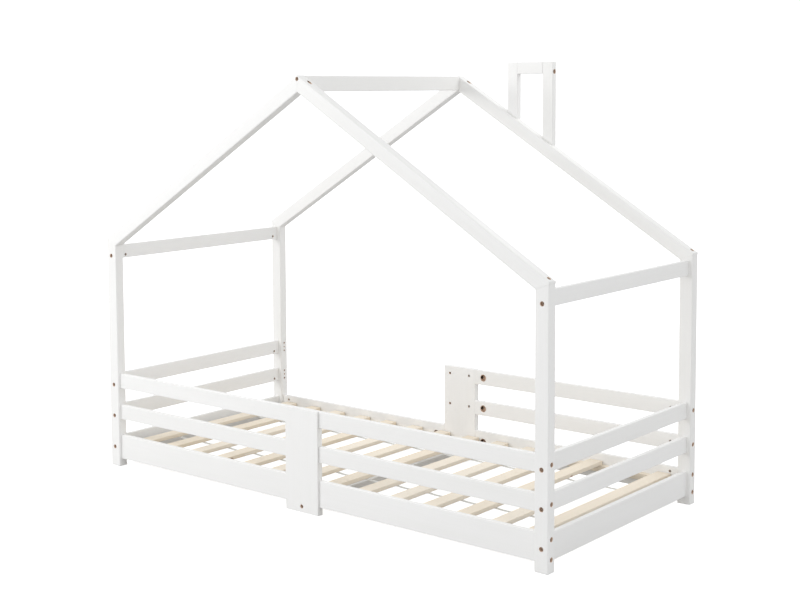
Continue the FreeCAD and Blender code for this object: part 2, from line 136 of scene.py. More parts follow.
class NodeSheet:
    """The nodes of one finish, or of the room around the bed."""

    def __init__(self, owner: Material | bpy.types.World) -> None:
        """Starts an empty sheet of a material or a world."""
        owner.use_nodes = True
        self.owner = owner
        self.tree = owner.node_tree
        self.tree.nodes.clear()

    @classmethod
    def of_finish(cls, name: str) -> "NodeSheet":
        """The empty sheet of a new material."""
        return cls(bpy.data.materials.new(name))

    def node(
        self,
        kind: str,
        settings: dict[str, Setting] | None = None,
        inputs: dict[str | int, Setting] | None = None,
        output: str | None = None,
    ) -> Value:
        """Adds one node, sets it up and wires it.

        Args:
            kind: the node's type, without ShaderNode in front.
            settings: the node's own settings, or a ramp's stops, which are set first.
            inputs: a value or a link for each socket, by name or number.
            output: the output that is wanted, or the first one in use.

        Returns:
            That output.
        """
        made = self.tree.nodes.new(f"ShaderNode{kind}")
        for key, setting in (settings or {}).items():
            if key == "stops":
                self._set_stops(made.color_ramp, setting)
            else:
                setattr(made, key, setting)
        for key, given in (inputs or {}).items():
            socket = made.inputs[key] if isinstance(key, int) else self._in_use(made.inputs, key)
            if isinstance(given, Value):
                self.tree.links.new(given.socket, socket)
            else:
                socket.default_value = given
        found = self._in_use(made.outputs, output) if made.outputs else None
        return Value(self, found)

    @staticmethod
    def _in_use(sockets: Iterable[bpy.types.NodeSocket], name: str | None) -> bpy.types.NodeSocket:
        """The first socket in use that has that name, or the first in use at all."""
        return next(socket for socket in sockets if socket.enabled and name in (None, socket.name))

    @staticmethod
    def _set_stops(ramp: bpy.types.ColorRamp, stops: list[tuple[float, Colour]]) -> None:
        """Gives a ramp its stops.

        Args:
            ramp: the ramp of a Color Ramp node, which has two stops to begin with.
            stops: place and colour of each stop.
        """
        for _ in range(len(stops) - 2):
            ramp.elements.new(0.5)
        for element, (place, colour) in zip(ramp.elements, stops):
            element.position = place
            element.color = colour

    def place(self) -> Value:
        """The point on the bed, in metres."""
        return self.node("TexCoord", output="Object")

    def board_tone(self) -> Value:
        """A number from 0 to 1 that is the same all over one board."""
        return self.node("Attribute", {"attribute_name": "board_tone"}, output="Fac")

    def noise(self, where: Value, scale: float, detail: float, rough: float) -> Value:
        """Soft noise about 0.5, with roughly scale features in a metre."""
        sizes = {"Vector": where, "Scale": scale, "Detail": detail, "Roughness": rough}
        return self.node("TexNoise", {}, sizes)

    def blend(self, factor: Value, first: Value | Colour, second: Value | Colour) -> Value:
        """The first colour where the factor is 0, the second where it is 1."""
        sockets = {"Factor": factor, "A": first, "B": second}
        return self.node("Mix", {"data_type": "RGBA", "clamp_factor": True}, sockets)

    def bump(self, height: Value, distance: float) -> Value:
        """The normal of a relief, where a height of 1 is that distance in metres."""
        return self.node("Bump", {}, {"Height": height, "Distance": distance, "Strength": 1.0})

    def surface(self, sockets: dict[str, Setting]) -> Material:
        """Ends a finish with its shader's sockets."""
        return self.finish(self.node("BsdfPrincipled", {}, sockets))

    def finish(self, shader: Value, output: str = "OutputMaterial") -> Material | bpy.types.World:
        """Wires a shader to the output node and gives back the sheet's owner."""
        self.node(output, {}, {"Surface": shader})
        return self.owner


class Grain(Enum):
    """The way the grain of a board runs: along it, across its face and through it."""

    LENGTHWAYS = ((1.0, 0.0, 0.0), (0.0, 0.0, 1.0), (0.0, 1.0, 0.0))
    CROSSWAYS = ((0.0, 1.0, 0.0), (1.0, 0.0, 0.0), (0.0, 0.0, 1.0))
    UPRIGHT = ((0.0, 0.0, 1.0), (1.0, 0.0, 0.0), (0.0, 1.0, 0.0))
    LEFT_SLOPE = ((ROOF_RUN, 0.0, ROOF_RISE), (-ROOF_RISE, 0.0, ROOF_RUN), (0.0, 1.0, 0.0))
    RIGHT_SLOPE = ((ROOF_RUN, 0.0, -ROOF_RISE), (ROOF_RISE, 0.0, ROOF_RUN), (0.0, 1.0, 0.0))

    def along(self) -> Vector:
        """The direction of the grain."""
        return Vector(self.value[0])

    def coordinates(self, sheet: NodeSheet, stretch: float) -> Value:
        """Coordinates along, across and through the board.

        Args:
            sheet: the sheet to work on.
            stretch: share of the length that is kept, so that what is drawn is long.

        Returns:
            The coordinates.
        """
        where = sheet.place()
        kept = [
            sheet.node("VectorMath", {"operation": "DOT_PRODUCT"}, {0: where, 1: way}, "Value")
            for way in self.value
        ]
        parts = {"X": kept[0] * stretch, "Y": kept[1], "Z": kept[2]}
        return sheet.node("CombineXYZ", {}, parts)


@dataclass(frozen=True)
class WhiteLacquer:
    """White lacquer sprayed on planed pine, thin enough for the grain to tell."""

    full: Colour = from_srgb(244, 243, 242)
    thin: Colour = from_srgb(236, 235, 232)
    line_spacing: float = 5.5 * MM
    relief: float = 0.12 * MM

    def material(self, grain: Grain) -> Material:
        """The lacquer on boards of one grain.

        Args:
            grain: the way the boards run.

        Returns:
            The material.
        """
        sheet = NodeSheet.of_finish(f"white_lacquer_{grain.name.lower()}")
        lines = sheet.noise(grain.coordinates(sheet, 0.03), 1.0 / self.line_spacing, 4.0, 0.6)
        figure = sheet.noise(grain.coordinates(sheet, 0.12), 16.0, 2.0, 0.5)
        spray = sheet.noise(sheet.place(), 900.0, 2.0, 0.5)
        cover = lines * 0.5 + figure * 0.55 + sheet.board_tone() * 0.35 - 0.2
        return sheet.surface({
            "Base Color": sheet.blend(cover, self.thin, self.full),
            "Roughness": 0.34 + figure * 0.16 + spray * 0.06,
            "Coat Weight": 0.12,
            "Coat Roughness": 0.25,
            "Normal": sheet.bump(lines * 0.8 + spray * 0.2, self.relief),
        })


@dataclass(frozen=True)
class BarePine:
    """Planed pine without a finish: pale early wood, darker late wood and a few small knots."""

    early: Colour = from_srgb(249, 241, 228)
    late: Colour = from_srgb(236, 219, 192)
    knot: Colour = from_srgb(150, 100, 58)
    ring_spacing: float = 4.6 * MM
    relief: float = 0.10 * MM

    def material(self, grain: Grain) -> Material:
        """Bare boards of one grain.

        Args:
            grain: the way the boards run.

        Returns:
            The material.
        """
        sheet = NodeSheet.of_finish(f"bare_pine_{grain.name.lower()}")
        where = grain.coordinates(sheet, 0.055)
        rings = sheet.node(
            "TexWave",
            {"wave_type": "BANDS", "bands_direction": "Y", "wave_profile": "SAW"},
            {
                "Vector": where,
                "Scale": WAVE_PITCH / self.ring_spacing,
                "Distortion": 5.5,
                "Detail": 2.5,
                "Detail Scale": 0.35,
                "Detail Roughness": 0.5,
            },
            "Fac",
        )
        pores = sheet.noise(grain.coordinates(sheet, 0.02), 620.0, 3.0, 0.6)
        figure = sheet.noise(grain.coordinates(sheet, 0.2), 9.0, 2.0, 0.5)
        spots = sheet.node(
            "TexVoronoi",
            {"feature": "F1"},
            {"Vector": grain.coordinates(sheet, 0.6), "Scale": 7.5},
            "Distance",
        )
        knots = sheet.node(
            "ValToRGB",
            {"stops": [(0.035, WHITE), (0.07, BLACK)]},
            {"Fac": spots},
        )
        depth = rings * 0.42 + pores * 0.16 + figure * 0.3 + sheet.board_tone() * 0.3 - 0.16
        wood = sheet.blend(depth, self.early, self.late)
        return sheet.surface({
            "Base Color": sheet.blend(knots, wood, self.knot),
            "Roughness": 0.52 + rings * 0.08 + pores * 0.1,
            "Normal": sheet.bump(rings * 0.5 + pores * 0.5, self.relief),
        })


@dataclass(frozen=True)
class RawWood:
    """Wood bared by a drill or a lathe, which no finish reaches."""

    name: str
    pale: Colour
    dark: Colour

    def material(self) -> Material:
        """Torn fibres with darker patches where the tool ran hot."""
        sheet = NodeSheet.of_finish(self.name)
        fibre = sheet.noise(sheet.place(), 420.0, 3.0, 0.65)
        burn = sheet.noise(sheet.place(), 95.0, 2.0, 0.5)
        return sheet.surface({
            "Base Color": sheet.blend(fibre * 0.6 + burn * 0.9 - 0.25, self.dark, self.pale),
            "Roughness": 0.72 + fibre * 0.2,
            "Normal": sheet.bump(fibre, 0.25 * MM),
        })


@dataclass(frozen=True)
class PlatedSteel:
    """Steel with a dulled plating, for bolts, nuts and screws."""

    name: str
    plating: Colour
    dulled: Colour
    metal: float = 0.75

    def material(self) -> Material:
        """Plated steel with small dull patches and fine turning marks."""
        sheet = NodeSheet.of_finish(self.name)
        patches = sheet.noise(sheet.place(), 260.0, 3.0, 0.6)
        marks = sheet.noise(sheet.place(), 2400.0, 2.0, 0.5)
        return sheet.surface({
            "Base Color": sheet.blend(patches * 1.6 - 0.3, self.dulled, self.plating),
            "Metallic": self.metal + patches * 0.25,
            "Roughness": 0.3 + patches * 0.22 + marks * 0.08,
            "Normal": sheet.bump(marks, 0.02 * MM),
        })


@dataclass(frozen=True)
class WovenTape:
    """White polyester tape in a plain weave."""

    crest: Colour = from_srgb(240, 240, 236)
    valley_shade: Colour = from_srgb(205, 204, 198)
    thread: float = 0.9 * MM

    def material(self) -> Material:
        """Warp and weft as two crossed waves, darker in the dips between the threads as painted shade."""
        sheet = NodeSheet.of_finish("woven_tape")
        where = sheet.place()
        threads = [
            sheet.node(
                "TexWave",
                {"wave_type": "BANDS", "bands_direction": way, "wave_profile": "SIN"},
                {"Vector": where, "Scale": WAVE_PITCH / self.thread, "Distortion": 0.4, "Detail": 1.0},
                "Fac",
            )
            for way in ("X", "Y")
        ]
        weave = threads[0] * threads[1]
        fluff = sheet.noise(where, 1500.0, 2.0, 0.6)
        return sheet.surface({
            # The dips of the weave take the darker colour: painted shade between the threads.
            "Base Color": sheet.blend(weave * 0.8 + fluff * 0.3, self.valley_shade, self.crest),
            "Roughness": 0.78 + fluff * 0.15,
            "Normal": sheet.bump(weave * 0.8 + fluff * 0.2, 0.2 * MM),
        })


@dataclass(frozen=True)
class StudioFloor:
    """A pale matt floor, lit up to the white of the room wherever it is looked at."""

    pale: Colour = from_srgb(238, 238, 238)
    paler: Colour = from_srgb(244, 244, 244)
    bounced: Colour = from_srgb(201, 201, 201)
    glow: float = 0.62

    def material(self) -> Material:
        """Matt floor with the faintest clouds, brighter to the eye than in the light that it throws back."""
        sheet = NodeSheet.of_finish("studio_floor")
        clouds = sheet.noise(sheet.place(), 0.8, 2.0, 0.5)
        unseen = {"Base Color": sheet.blend(clouds * 0.1, self.bounced, self.pale), "Roughness": 0.85}
        looks = {
            "Base Color": sheet.blend(clouds, self.pale, self.paler),
            "Roughness": 0.85,
            "Emission Color": WHITE,
            "Emission Strength": self.glow,
        }
        shaders = [sheet.node("BsdfPrincipled", {}, sockets) for sockets in (unseen, looks)]
        looked_at = sheet.node("LightPath", output="Is Camera Ray")
        mixed = sheet.node("MixShader", {}, {0: looked_at, 1: shaders[0], 2: shaders[1]})
        return sheet.finish(mixed)


class Coat(Enum):
    """What a timber is finished with, by the record's slot for it."""

    LACQUERED = "white_pine"
    BARE = "natural_pine"


class Finishes:
    """Every finish of the bed, made once."""

    def __init__(self) -> None:
        """Makes the materials."""
        self.timber = {
            Coat.LACQUERED: {grain: WhiteLacquer().material(grain) for grain in Grain},
            Coat.BARE: {grain: BarePine().material(grain) for grain in (Grain.LENGTHWAYS, Grain.CROSSWAYS)},
        }
        self.rim = RawWood("drilled_rim", from_srgb(238, 220, 204), from_srgb(212, 190, 170)).material()
        # Hole walls and floors take a darker wood than the rim: painted shade for the dark inside a drilled
        # hole.
        self.bore = RawWood("drilled_wood", from_srgb(224, 200, 180), from_srgb(188, 160, 138)).material()
        bronze, dull_bronze = from_srgb(212, 194, 178), from_srgb(172, 154, 140)
        self.bolt = PlatedSteel("bronzed_steel", bronze, dull_bronze, 0.3).material()
        # Pocket bolts are blackened steel made darker than the other bolts: partly their own colour, partly
        # painted shade for the dark deep in each pocket.
        black, dull_black = from_srgb(86, 74, 64), from_srgb(34, 28, 24)
        self.blackened_bolt_and_shade = PlatedSteel("blackened_steel", black, dull_black).material()
        self.nut = PlatedSteel("zinc_plating", from_srgb(176, 174, 170), from_srgb(128, 126, 122)).material()
        self.beech = RawWood("beech_dowel", from_srgb(222, 188, 148), from_srgb(198, 160, 118)).material()
        self.tape = WovenTape().material()
        self.floor = StudioFloor().material()


def turned(
    shape: Shape,
    start: Vector,
    direction: Vector,
    rings: list[tuple[float, float]],
    sides: int,
    finishes: list[int] | None = None,
) -> list[bmesh.types.BMVert]:
    """Adds a turned solid to a shape.

    Args:
        shape: the mesh that it goes into.
        start: the point on its axis that the rings' distances start from.
        direction: its axis.
        rings: distance along the axis and radius of each ring.
        sides: flats round it.
        finishes: material index of the first cap, each band and the last cap; or 0 for all.

    Returns:
        The vertices of the first ring.
    """
    turn = direction.to_track_quat("Z", "Y").to_matrix()
    loops = []
    for distance, radius in rings:
        loop = []
        for step in range(sides):
            angle = 2.0 * math.pi * step / sides
            offset = Vector((radius * math.cos(angle), radius * math.sin(angle), distance))
            loop.append(shape.verts.new(start + turn @ offset))
        loops.append(loop)
    faces = [shape.faces.new(list(reversed(loops[0])))]
    for low, high in zip(loops, loops[1:]):
        for step in range(sides):
            after = (step + 1) % sides
            faces.append(shape.faces.new((low[step], low[after], high[after], high[step])))
    faces.append(shape.faces.new(loops[-1]))
    if finishes:
        faces[0].material_index = finishes[0]
        for number, face in enumerate(faces[1:-1]):
            face.material_index = finishes[1 + number // sides]
        faces[-1].material_index = finishes[-1]
    return loops[0]


def new_piece(name: str, shape: Shape, materials: list[Material]) -> Piece:
    """Turns a shape into an object of the scene.

    Args:
        name: the object's name.
        shape: its mesh, which is freed.
        materials: its slots.

    Returns:
        The object.
    """
    mesh = bpy.data.meshes.new(name)
    bmesh.ops.recalc_face_normals(shape, faces=shape.faces)
    shape.to_mesh(mesh)
    shape.free()
    for material in materials:
        mesh.materials.append(material)
    piece = bpy.data.objects.new(name, mesh)
    bpy.context.scene.collection.objects.link(piece)
    return piece


def apply_modifiers(piece: Piece) -> None:
    """Makes what the modifiers show the piece's own mesh."""
    depsgraph = bpy.context.evaluated_depsgraph_get()
    before = piece.data
    after = bpy.data.meshes.new_from_object(piece.evaluated_get(depsgraph), depsgraph=depsgraph)
    piece.modifiers.clear()
    piece.data = after
    name = before.name
    bpy.data.meshes.remove(before)
    after.name = name


def cut_out(piece: Piece, cutters: list[Piece]) -> None:
    """Cuts shapes out of a piece, after its other modifiers.

    Args:
        piece: what is cut.
        cutters: what cuts it, which is removed.
    """
    for cutter in cutters:
        cut = piece.modifiers.new("drill", "BOOLEAN")
        cut.operation = "DIFFERENCE"
        cut.solver = "EXACT"
        cut.material_mode = "TRANSFER"
        cut.object = cutter
    apply_modifiers(piece)
    for cutter in cutters:
        bpy.data.meshes.remove(cutter.data)


def smooth_faces(piece: Piece, sharpest: float = 32.0) -> None:
    """Shades curves smooth and keeps flats flat.

    Args:
        piece: the piece.
        sharpest: the largest angle between faces that is still shaded smooth, in degrees.
    """
    piece.data.shade_smooth()
    piece.data.set_sharp_from_angle(angle=math.radians(sharpest))
    flats = piece.modifiers.new("flats", "WEIGHTED_NORMAL")
    flats.keep_sharp = True
    apply_modifiers(piece)


@dataclass(frozen=True)
class Drill:
    """How a hole is drilled: width, depth, the bare rim of its countersink, and the run-up outside."""

    width: float
    depth: float
    flare: float = 0.9 * MM
    lead: float = 1.0 * MM
    slender: float = 9.0 * MM

    def sides(self) -> int:
        """Flats round the hole, fewer round a slender one."""
        return 20 if self.width < self.slender else 40


NUT_HOLE = Drill(10.0 * MM, 14.0 * MM, 0.4 * MM)


@dataclass(frozen=True)
class Bore:
    """A drilled hole that shows: how it is drilled, the middle of its mouth, and the way in."""

    drill: Drill
    mouth: Point
    into: Vector

    def cutter(self, finishes: Finishes) -> Piece:
        """The solid that the drill takes away.

        Args:
            finishes: the bed's finishes.

        Returns:
            An object that cuts a piece.
        """
        drill = self.drill
        radius = drill.width / 2
        rings = [
            (-drill.lead, radius + drill.flare + (drill.lead if drill.flare else 0.0)),
            (drill.flare, radius),
            (drill.depth, radius),
        ]
        shape = bmesh.new()
        # Rim faces take the pale wood; walls and floor take the darker one, which is painted shade.
        turned(shape, Vector(self.mouth), self.into.normalized(), rings, drill.sides(), [0, 0, 1, 1])
        return new_piece("cutter", shape, [finishes.rim, finishes.bore])


@dataclass
class Timber:
    """A board, post or rafter: its outline seen from the front, how deep it is, and its holes."""

    name: str
    outline: list[tuple[float, float]]
    front: float
    back: float
    grain: Grain
    rounding: float
    end_rounding: float = 0.6 * MM
    foot_rounding: float = 0.0
    bores: list[Bore] = field(default_factory=list)
    long_edge: float = 0.97
    foot_height: float = 1.0 * MM
    tone_step: float = 0.618

    def blank(self, finish: Material) -> Piece:
        """The timber before its edges are rounded, with each edge marked by its radius.

        Args:
            finish: the finish of its faces.

        Returns:
            The object.
        """
        shape = bmesh.new()
        near = [shape.verts.new((x, self.front, z)) for x, z in self.outline]
        far = [shape.verts.new((x, self.back, z)) for x, z in self.outline]
        shape.faces.new(near)
        shape.faces.new(list(reversed(far)))
        count = len(near)
        for step in range(count):
            after = (step + 1) % count
            shape.faces.new((near[step], far[step], far[after], near[after]))
        weight = shape.edges.layers.float.new("bevel_weight_edge")
        for edge in shape.edges:
            run = (edge.verts[1].co - edge.verts[0].co).normalized()
            radius = self.end_rounding
            if abs(run.dot(self.grain.along())) > self.long_edge:
                radius = self.rounding
            elif self.foot_rounding and max(vert.co.z for vert in edge.verts) < self.foot_height:
                radius = self.foot_rounding
            edge[weight] = radius / self.rounding
        return new_piece(f"{self.name}_timber", shape, [finish])

    def make(self, finish: Material, finishes: Finishes) -> Piece:
        """Rounds, drills and smooths the timber.

        Args:
            finish: the finish of its faces.
            finishes: the bed's finishes, for the drilled holes.

        Returns:
            The finished piece.
        """
        piece = self.blank(finish)
        edges = piece.modifiers.new("edges", "BEVEL")
        edges.limit_method = "WEIGHT"
        edges.width = self.rounding
        edges.segments = 3
        cut_out(piece, [bore.cutter(finishes) for bore in self.bores])
        smooth_faces(piece)
        tone = piece.data.attributes.new("board_tone", "FLOAT", "POINT")
        letters = sum(ord(letter) * place for place, letter in enumerate(self.name, 1))
        shade = (letters * self.tone_step) % 1.0
        tone.data.foreach_set("value", [shade] * len(piece.data.vertices))
        return piece


@dataclass
class SubAssembly:
    """Part of the bed, which knows the finishes and keeps its pieces."""

    finishes: Finishes
    coat: Coat = Coat.LACQUERED
    rounding: float = 2.4 * MM
    pieces: list[Piece] = field(default_factory=list, init=False)

    def keep(self, piece: Piece, slot: str, node: str | None = None) -> None:
        """Puts a piece on the bed.

        Args:
            piece: the piece.
            slot: not used.
            node: the CAD node that it stands for, if any.
        """
        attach(piece, BODY)
        if node:
            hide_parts(node)
        self.pieces.append(piece)

    def add(self, timber: Timber) -> None:
        """Makes a timber in place of its node."""
        finish = self.finishes.timber[self.coat][timber.grain]
        self.keep(timber.make(finish, self.finishes), self.coat.value, timber.name)

    def board(self, name: str, grain: Grain, bores: Iterable[Bore] = ()) -> None:
        """Makes a square-cut board in place of its node.

        Args:
            name: the node's name.
            grain: the way it runs.
            bores: its holes.
        """
        low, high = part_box(name)
        outline = [(low.x, low.z), (high.x, low.z), (high.x, high.z), (low.x, high.z)]
        self.add(Timber(name, outline, low.y, high.y, grain, self.rounding, bores=list(bores)))

    def fittings(self, name: str, shape: Shape, node: str | None, *steels: Material) -> None:
        """Puts steel fittings on the bed as one piece.

        Args:
            name: the piece's name.
            shape: their mesh.
            node: the CAD node that they stand for, if any.
            steels: their finishes.
        """
        piece = new_piece(name, shape, list(steels))
        smooth_faces(piece)
        self.keep(piece, "zinc", node)


def side_of(value: float) -> float:
    """Minus 1 for the left or front, 1 for the right or back."""
    return math.copysign(1.0, value)


def inner_outer(low: float, high: float) -> tuple[float, float]:
    """The side of a board towards the middle of the bed, and the side away from it."""
    return (low, high) if abs(low) < abs(high) else (high, low)


@dataclass
class GableFrames(SubAssembly):
    """The four corner posts and the rafters that stand on them."""

    rounding: float = 4.5 * MM
    foot_rounding: float = 3.6 * MM
    post_along: float = 52.0 * MM
    rafter_plumb: float = 59.74 * MM
    counterbore: Drill = Drill(14.5 * MM, 12.0 * MM)
    end_bolt_inset: float = 25.0 * MM
    spare_bolt: Drill = Drill(6.6 * MM, 47.0 * MM, 0.4 * MM)
    spare_dowel: Drill = Drill(8.1 * MM, 18.0 * MM, 0.4 * MM)
    dowel_offset: float = 17.0 * MM
    eave_screw: Drill = Drill(13.0 * MM, 14.0 * MM)
    eave_inset: float = 13.0 * MM
    ridge_screw: Drill = Drill(13.0 * MM, 10.0 * MM)
    ridge_drop: float = 13.0 * MM
    slant_screw: Drill = Drill(13.0 * MM, 22.0 * MM, 0.0, 15.0 * MM)
    apex_drop: float = 25.6 * MM
    apex_seat: float = 26.0 * MM
    chimney_screws: tuple[float, ...] = (253.0 * MM, 413.0 * MM)
    chimney_row: float = 470.0 * MM

    def build(self) -> None:
        """Makes posts and rafters."""
        for face in FACES:
            for end in ENDS:
                self.add(self.post(face, end))
                self.add(self.rafter(face, end))

    def post(self, face: str, end: str) -> Timber:
        """A corner post with its bolt holes.

        Args:
            face: front or back.
            end: left or right.

        Returns:
            The timber.
        """
        name = f"{face}_{end}_post"
        low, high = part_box(name)
        x_side, y_side = side_of(low.x), side_of(low.y)
        inner, outer = inner_outer(low.x, high.x)
        inner_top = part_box(f"{end}_end_beam")[1].z
        outline = [(outer, low.z), (outer, high.z), (inner, inner_top), (inner, low.z)]
        middle = (low.y + high.y) / 2
        inward = Vector((-x_side, 0.0, 0.0))
        bores = [Bore(self.counterbore, (outer, middle, z), inward) for z in (*GUARD_LINES, *RAIL_LINES)]
        if name == "back_left_post":
            # The open side can take guards as well, so its post has their holes.
            for z in GUARD_LINES:
                bores.append(Bore(self.spare_bolt, (inner, middle, z), -inward))
                pegs = (z - self.dowel_offset, z + self.dowel_offset)
                bores += [Bore(self.spare_dowel, (inner, middle, peg), -inward) for peg in pegs]
        outer_face = inner_outer(low.y, high.y)[1]
        bolt_column = outer - x_side * self.end_bolt_inset
        through = Vector((0.0, -y_side, 0.0))
        bores += [Bore(self.counterbore, (bolt_column, outer_face, z), through) for z in END_LINES.values()]
        timber = Timber(name, outline, low.y, high.y, Grain.UPRIGHT, self.rounding, bores=bores)
        timber.foot_rounding = self.foot_rounding
        return timber

    def rafter(self, face: str, end: str) -> Timber:
        """A rafter, mitred at the ridge and plumb at the eave.

        Args:
            face: front or back.
            end: left or right.

        Returns:
            The timber.
        """
        name = f"{face}_{end}_rafter"
        low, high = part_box(name)
        post_low, post_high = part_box(f"{face}_{end}_post")
        x_side, y_side = side_of(post_low.x), side_of(low.y)
        half_length = max(abs(low.x), abs(high.x))
        apex = high.z
        outline = [
            (0.0, apex),
            (0.0, apex - self.rafter_plumb),
            (x_side * (half_length - self.post_along), low.z),
            (x_side * half_length, post_high.z),
            (x_side * half_length, apex - ROOF_SLOPE * half_length),
        ]
        middle = (low.y + high.y) / 2
        outer_face = inner_outer(low.y, high.y)[1]
        eave = half_length - self.eave_inset
        square_to_roof = Vector((-x_side * ROOF_RISE, 0.0, -ROOF_RUN))
        through = Vector((0.0, -y_side, 0.0))
        bores = [
            Bore(self.eave_screw, (x_side * eave, middle, apex - ROOF_SLOPE * eave), square_to_roof),
            Bore(self.ridge_screw, (0.0, outer_face, apex - self.ridge_drop), through),
        ]
        if end == "right":
            x = self.apex_drop / ROOF_SLOPE
            apex_screw = replace(self.slant_screw, depth=x - self.apex_seat)
            bores.append(Bore(apex_screw, (x, middle, apex - self.apex_drop), Vector((-1.0, 0.0, 0.0))))
        if name == "back_right_rafter":
            for x in self.chimney_screws:
                soffit = (x, self.chimney_row, apex - self.rafter_plumb - ROOF_SLOPE * x)
                bores.append(Bore(self.slant_screw, soffit, Vector((0.0, 0.0, 1.0))))
        grain = Grain.RIGHT_SLOPE if end == "right" else Grain.LEFT_SLOPE
        return Timber(name, outline, low.y, high.y, grain, self.rounding, CUT_ROUNDING, bores=bores)


@dataclass
class CrossTies(SubAssembly):
    """The ridge beam and the low beam between the centre uprights."""

    def build(self) -> None:
        """Makes the two beams."""
        for name in ("ridge_beam", "centre_cross_beam"):
            self.board(name, Grain.CROSSWAYS)


@dataclass
class EndPanels(SubAssembly):
    """The top beam, guards and side rail across each end."""

    nut_inset: float = 26.0 * MM

    def build(self) -> None:
        """Makes the boards of both ends, each with its two nut holes inside."""
        for end in ENDS:
            for part, z in END_LINES.items():
                name = f"{end}_{part}"
                low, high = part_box(name)
                inner = inner_outer(low.x, high.x)[0]
                into = Vector((side_of(low.x), 0.0, 0.0))
                row = high.y - self.nut_inset
                self.board(name, Grain.CROSSWAYS, [Bore(NUT_HOLE, (inner, y, z), into) for y in (-row, row)])


@dataclass
class LongSides(SubAssembly):
    """Side rails and guards along the bed, in halves, with nut holes and bolt pockets inside."""

    nut_inset: float = 34.0 * MM
    pocket: Drill = Drill(26.5 * MM, 14.0 * MM)
    pocket_inset: float = 40.0 * MM
    head_hole: Drill = Drill(12.2 * MM, 14.0 * MM, 0.0, 0.0)

    def build(self) -> None:
        """Makes the boards that are fitted: the back left half has no guards."""
        upper, lower = GUARD_LINES
        for face in FACES:
            for end in ENDS:
                self.half(f"{face}_{end}_side_rail", RAIL_LINES, POCKET_LINE)
                if (face, end) != ("back", "left"):
                    self.half(f"{face}_{end}_upper_guard", (upper,), upper)
                    self.half(f"{face}_{end}_lower_guard", (lower,), lower)

    def half(self, name: str, nut_heights: tuple[float, ...], pocket_height: float) -> None:
        """A half rail or guard.

        Args:
            name: its node.
            nut_heights: heights of the nut holes by the post.
            pocket_height: height of the pocket by the upright.
        """
        low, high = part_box(name)
        x_side = side_of(low.x + high.x)
        near, far = sorted((abs(low.x), abs(high.x)))
        inner = inner_outer(low.y, high.y)[0]
        outward = Vector((0.0, side_of(low.y), 0.0))
        nut_x = x_side * (far - self.nut_inset)
        pocket_x = x_side * (near + self.pocket_inset)
        head = (pocket_x, (low.y + high.y) / 2, pocket_height)
        bores = [Bore(NUT_HOLE, (nut_x, inner, z), outward) for z in nut_heights]
        bores.append(Bore(self.head_hole, head, Vector((-x_side, 0.0, 0.0))))
        bores.append(Bore(self.pocket, (pocket_x, inner, pocket_height), outward))
        self.board(name, Grain.LENGTHWAYS, bores)


@dataclass
class CentreUprights(SubAssembly):
    """The upright in the middle of each long side, and its cover."""

    nut_inset: float = 30.0 * MM
    spare_bolt: Drill = Drill(6.6 * MM, 24.0 * MM, 0.4 * MM)
    screw: Drill = Drill(13.0 * MM, 10.0 * MM)
    screw_height: float = 22.0 * MM

    def build(self) -> None:
        """Makes uprights and covers."""
        for face in FACES:
            upright, cover = f"{face}_centre_upright", f"{face}_upright_cover"
            low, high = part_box(upright)
            inner, joint = inner_outer(low.y, high.y)
            outward = Vector((0.0, side_of(low.y), 0.0))
            row = high.x - self.nut_inset
            places = [(x, inner, z) for x in (-row, row) for z in (*GUARD_LINES, POCKET_LINE)]
            bores = [Bore(NUT_HOLE, place, outward) for place in places]
            if face == "back":
                inward = Vector((1.0, 0.0, 0.0))
                middle = (inner + joint) / 2
                bores += [Bore(self.spare_bolt, (low.x, middle, z), inward) for z in GUARD_LINES]
            cover_low, cover_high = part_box(cover)
            outer = inner_outer(cover_low.y, cover_high.y)[1]
            rest = replace(self.screw, depth=self.screw.depth - abs(outer - joint), flare=0.0)
            bores.append(Bore(rest, (0.0, joint, self.screw_height), -outward))
            through = Bore(self.screw, (0.0, outer, self.screw_height), -outward)
            self.board(upright, Grain.UPRIGHT, bores)
            self.board(cover, Grain.UPRIGHT, [through])


@dataclass
class Chimney(SubAssembly):
    """The small chimney of two posts and a crosspiece on the back right rafter."""

    screw: Drill = Drill(17.0 * MM, 10.0 * MM)
    screw_drop: float = 37.0 * MM

    def build(self) -> None:
        """Makes the posts, cut to the roof, and the crosspiece."""
        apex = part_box("back_right_rafter")[1].z
        for end, x_side in (("left", -1.0), ("right", 1.0)):
            name = f"chimney_{end}_post"
            low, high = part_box(name)
            foot = [(x, apex - ROOF_SLOPE * x) for x in (low.x, high.x)]
            outline = [*foot, (high.x, high.z), (low.x, high.z)]
            outer = low.x if x_side < 0 else high.x
            mouth = (outer, (low.y + high.y) / 2, high.z - self.screw_drop)
            bores = [Bore(self.screw, mouth, Vector((-x_side, 0.0, 0.0)))]
            grain = Grain.UPRIGHT
            post = Timber(name, outline, low.y, high.y, grain, self.rounding, CUT_ROUNDING, bores=bores)
            self.add(post)
        self.board("chimney_crosspiece", Grain.LENGTHWAYS)


